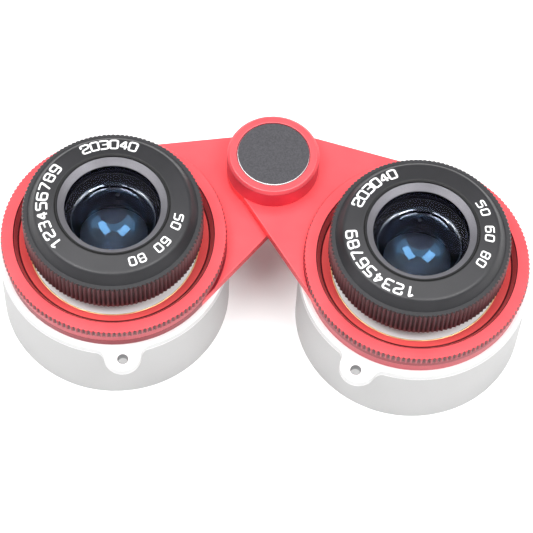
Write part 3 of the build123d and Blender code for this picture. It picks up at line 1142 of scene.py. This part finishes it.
@dataclass
class Bridge:
    """Red arms, spacers, sleeves and knurled clamp rings, and the hinge between the barrels.

    Args:
        rib_shadow: Radii of the painted shadow that the clamp ring's ribs cast on the arm under them.
        shaded_round_wall: Radii that hold the arm's round wall, which is painted darker as shade.
        under_top: How far under the arm's top the one starts and the other ends.
    """

    rib_shadow: tuple[float, float] = (25.62 * MM, 26.22 * MM)
    shaded_round_wall: tuple[float, float] = (25.3 * MM, 25.66 * MM)
    under_top: float = 0.02 * MM

    def build(self) -> None:
        """Dress every part of the bridge and its hinge."""
        for side in Side:
            axis = side.axis()
            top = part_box(side.node("arm"))[1].z - self.under_top
            # Painted shadow under the clamp ring's ribs, and painted shade on the arm's round wall below its
            # top.
            bands = ((*self.rib_shadow, top, HIGHEST), (*self.shaded_round_wall, 0.0, top))
            dress(side.node("clamp_ring"), RED_RING.build(axis))
            dress(side.node("arm_spacer"), RED.build(axis))
            dress(side.node("arm"), replace(RED_ARM, dark=bands).build(axis))
            dress(side.node("neck_sleeve"), RED_SLEEVE_LIT.build(axis))
        pivot = middle("hinge_cap")
        dress("hinge_cap", RED_HUB.build(pivot))
        dress("hinge_disc", DISC.build(pivot))
        steel = STEEL.build(pivot)
        dress("hinge_axle", steel)
        dress("hinge_spring_washer", steel)
        dress("hinge_bush", BRASS.build(pivot))
        dress("hinge_shim", SLIP_PLASTIC.build(pivot))
        dress("hinge_nut", BLACK.build(pivot))


# ------ studio

AIM = Vector((0.0, 0.0, 0.03))
SENSOR_MM = 36.0


@dataclass(frozen=True)
class Lamp:
    """Rectangular lamp that shines from its place towards AIM.

    Args:
        name: Name of the lamp.
        place: Position in metres.
        size: Width and height in metres.
        radiance: Brightness of its face.
    """

    name: str
    place: tuple[float, float, float]
    size: tuple[float, float]
    radiance: float

    def build(self) -> None:
        """Make the lamp."""
        width, height = self.size
        data = bpy.data.lights.new(self.name, "AREA")
        data.shape = "RECTANGLE"
        data.size, data.size_y = width, height
        data.energy = self.radiance * math.pi * width * height
        lamp = bpy.data.objects.new(self.name, data)
        lamp.location = self.place
        lamp.rotation_euler = (Vector(self.place) - AIM).to_track_quat("Z", "Y").to_euler()
        bpy.context.scene.collection.objects.link(lamp)


@dataclass
class Studio:
    """Pale floor, bright surroundings, soft lamps and the camera.

    Args:
        eye: Camera position.
        elevation, azimuth, roll: Camera's angle above the floor, turn and roll in degrees.
        lens: Focal length in millimetres.
        surroundings: Brightness of the surroundings.
        floor_reach, floor_sink: Half the floor's size, and how far it lies under the binocular's foot.
        floor_bend: Place along Y where it starts to rise, and the depth and height of its rise.
        scrim_height, scrim_front: Height of the scrim and place of its straight edge along Y.
        scrim_depth, scrim_width: How far it reaches behind that edge, and half its width.
        scrim_glow: Brightness of the scrim.
        lamps: The lamps.
    """

    eye: tuple[float, float, float] = (0.007243, -0.260493, 0.492884)
    elevation: float = 61.296
    azimuth: float = 1.4747
    roll: float = 3.5
    lens: float = 155.52
    surroundings: float = 0.22
    floor_reach: float = 3.0
    floor_bend: float = 1.5
    floor_sink: float = 0.02 * MM
    scrim_height: float = 1.25
    scrim_front: float = -0.45
    scrim_depth: float = 1.2
    scrim_width: float = 1.7
    scrim_glow: float = 2.4
    lamps: tuple[Lamp, ...] = (
        Lamp("softbox_left", (-0.42, -0.26, 1.2), (0.72, 0.5), 10.5),
        Lamp("softbox_right", (0.47, -0.33, 1.2), (0.62, 0.68), 10.5),
        Lamp("panel_left", (-1.5, 0.1, 0.75), (1.6, 1.1), 0.8),
        Lamp("panel_right", (1.5, 0.1, 0.75), (1.6, 1.1), 0.8),
        Lamp("panel_front", (0.0, -1.5, 0.7), (1.4, 0.5), 0.7),
    )

    def build(self) -> None:
        """Make the floor, the world, the lamps and the camera."""
        self.floor()
        self.world()
        self.scrim()
        for lamp in self.lamps:
            lamp.build()
        self.camera()

    def floor(self) -> None:
        """Pale floor: a sheet of height bend ((y - bend) / bend)^2 behind the bend, lowered by its sink."""
        reach, bend = self.floor_reach, self.floor_bend
        x, y = np.meshgrid(np.linspace(-reach, reach, 13), np.linspace(-reach, reach, 49))
        z = bend * np.clip((y - bend) / bend, 0, None) ** 2 - self.floor_sink
        shader = Shader("pale_floor")
        grain = shader.noise(shader.place(Vector()), 350.0, 4.0)
        shader.set(
            Base_Color=shader.blend(grain, (0.98, 0.98, 0.98), (0.96, 0.96, 0.96)),
            Roughness=0.8, Specular_IOR_Level=0.2,
        )
        as_piece("studio_floor", sheet(x, y, z), shader.material, 60.0)

    def scrim(self) -> None:
        """Lit half-round scrim overhead: x = width s cos t, y = front + depth s sin t, t to half a turn."""
        share = np.linspace(0.0, 1.0, 9)[:, None]
        sweep = np.linspace(0.0, math.pi, 33)[None, :]
        x = self.scrim_width * share * np.cos(sweep)
        y = self.scrim_front + self.scrim_depth * share * np.sin(sweep)
        shader = Shader("scrim_glow")
        shader.set(Base_Color=(0, 0, 0), Emission_Color=(1, 1, 1), Emission_Strength=self.scrim_glow)
        grid = sheet(x, y, np.full(x.shape, self.scrim_height))
        as_piece("studio_scrim", grid, shader.material, 60.0)

    def world(self) -> None:
        """Even white surroundings."""
        world = bpy.data.worlds.new("studio_world")
        world.use_nodes = True
        background = world.node_tree.nodes["Background"]
        background.inputs["Color"].default_value = (1.0, 1.0, 1.0, 1)
        background.inputs["Strength"].default_value = self.surroundings
        bpy.context.scene.world = world
        bpy.context.scene.view_settings.view_transform = "Standard"

    def camera(self) -> None:
        """Camera from its place, two angles and roll."""
        tilt, turn, roll = (math.radians(v) for v in (self.elevation, self.azimuth, self.roll))
        back = Vector((math.sin(turn) * math.cos(tilt), -math.cos(turn) * math.cos(tilt), math.sin(tilt)))
        right = Vector((0, 0, 1)).cross(back).normalized()
        up = back.cross(right)
        side = math.cos(roll) * right + math.sin(roll) * up
        top = math.cos(roll) * up - math.sin(roll) * right
        data = bpy.data.cameras.new("camera")
        data.lens = self.lens
        data.sensor_width = SENSOR_MM
        camera = bpy.data.objects.new("camera", data)
        camera.matrix_world = Matrix.Translation(self.eye) @ Matrix((side, top, back)).transposed().to_4x4()
        bpy.context.scene.collection.objects.link(camera)
        bpy.context.scene.camera = camera


def main() -> None:
    """Build the looks, one sub-assembly after another."""
    logging.basicConfig(level=logging.INFO, format="%(name)s: %(message)s")
    for side, dial_turn, lug_angle in ((Side.LEFT, 0.0, -80.1), (Side.RIGHT, 39.0, -114.5)):
        ObjectiveEnd(side, lug_angle).build()
        FocusGear(side).build()
        EyeEnd(side).build()
        FocusDial(side, dial_turn).build()
    Bridge().build()
    Studio().build()


if __name__ == "__main__":
    main()
